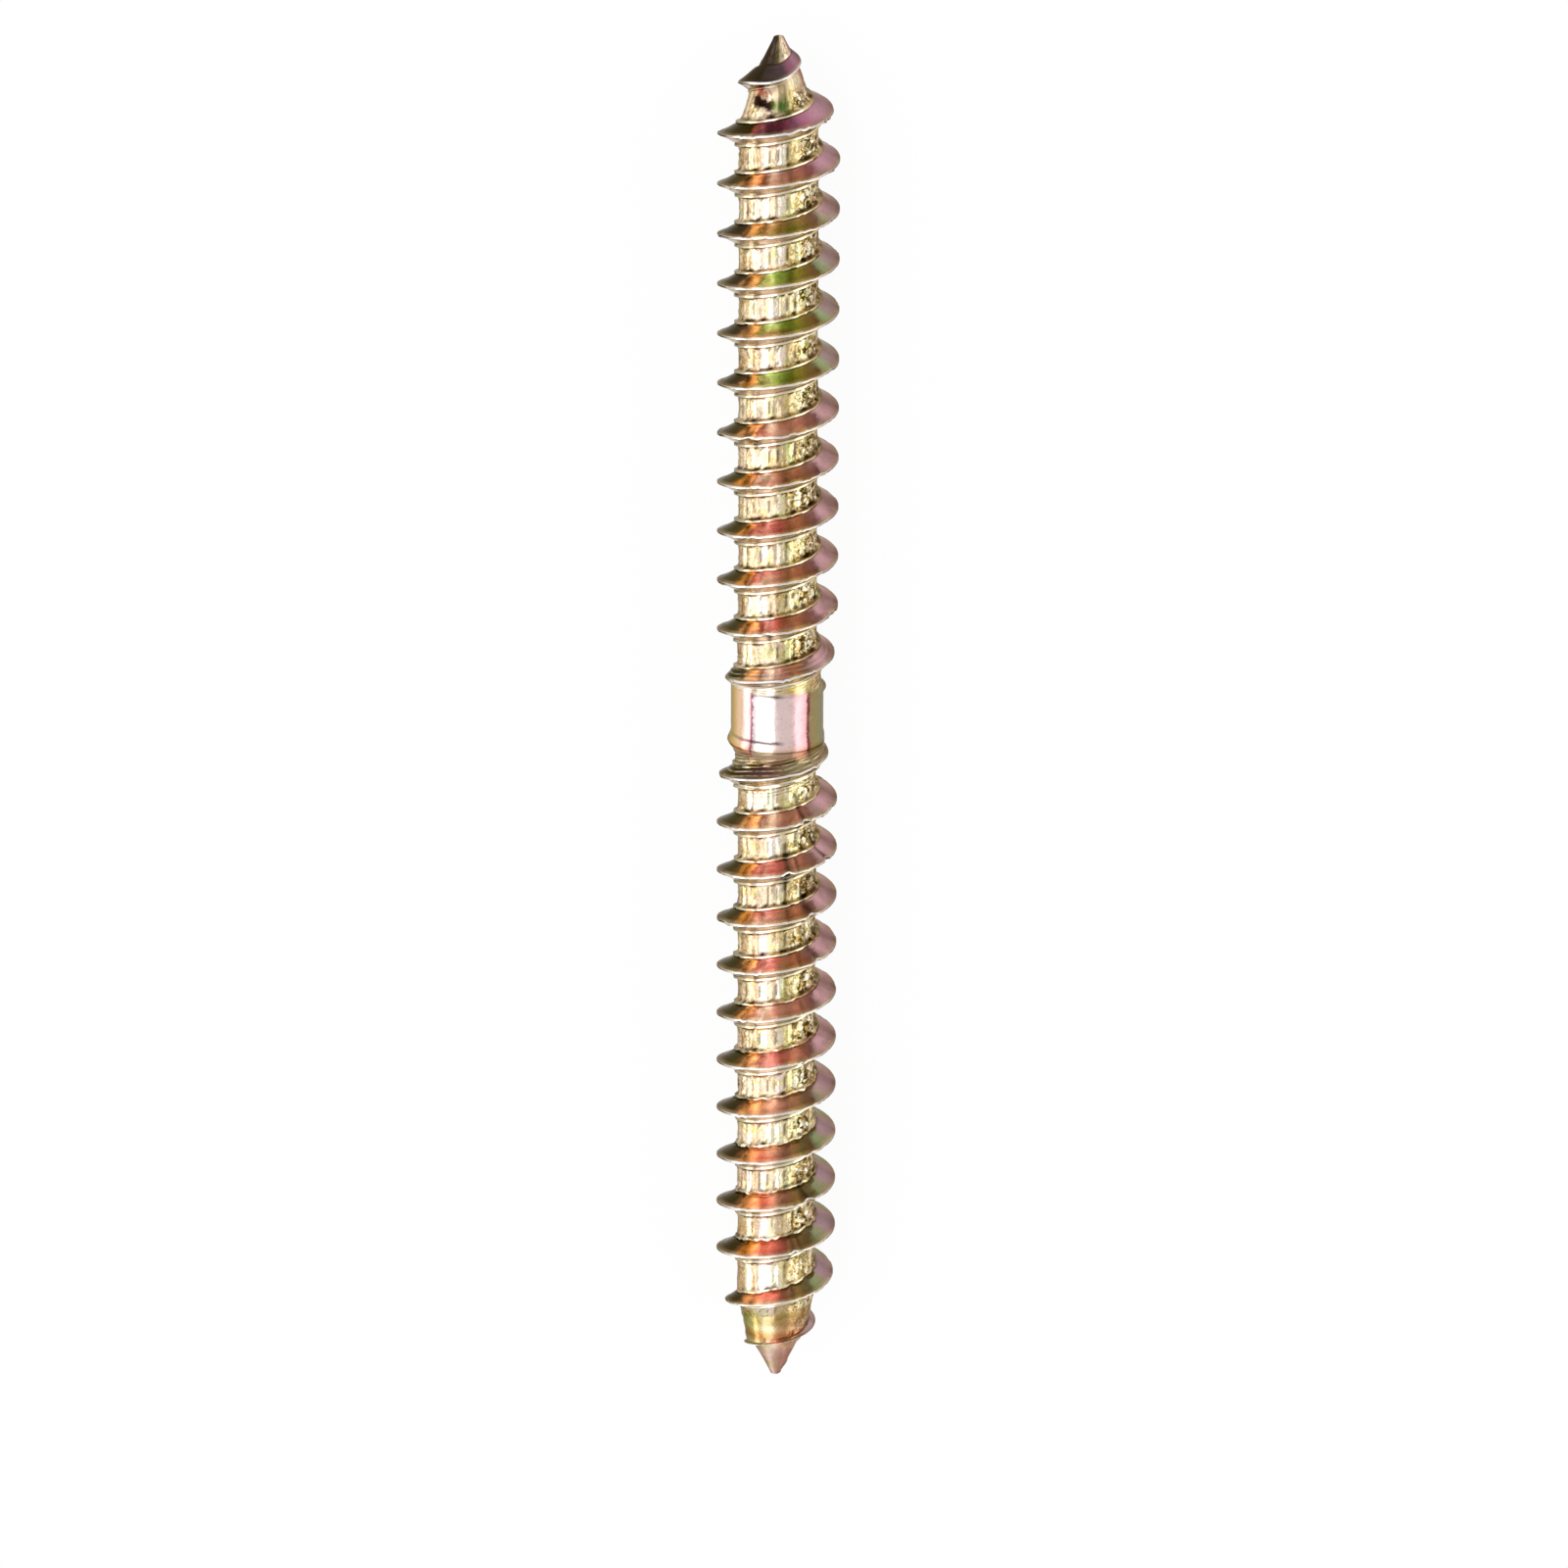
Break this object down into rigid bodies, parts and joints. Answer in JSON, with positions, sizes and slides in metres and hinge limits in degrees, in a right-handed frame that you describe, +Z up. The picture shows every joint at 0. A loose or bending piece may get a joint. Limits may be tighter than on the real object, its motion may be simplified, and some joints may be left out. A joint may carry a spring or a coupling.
{
  "type": "dowel screw",
  "caption": "Double-ended dowel screw with a coarse right-hand wood thread and a gimlet point at each end and a short plain collar between them, in yellow zinc-plated steel",
  "frame": {"origin": "on the screw's axis at mid-length, in the middle of the plain collar", "axes": "+X along the screw to the end shown uppermost in the picture, +Z up with the screw lying on its thread crests, +Y level across it"},
  "size_m": [0.07, 0.006, 0.006],
  "materials": {
    "yellow_zinc_steel": "thread-rolled steel, zinc plated and passivated yellow, with gold, pink and olive tints"
  },
  "bodies": {
    "root": {"dowel_screw": "yellow_zinc_steel"}
  },
  "joints": []
}
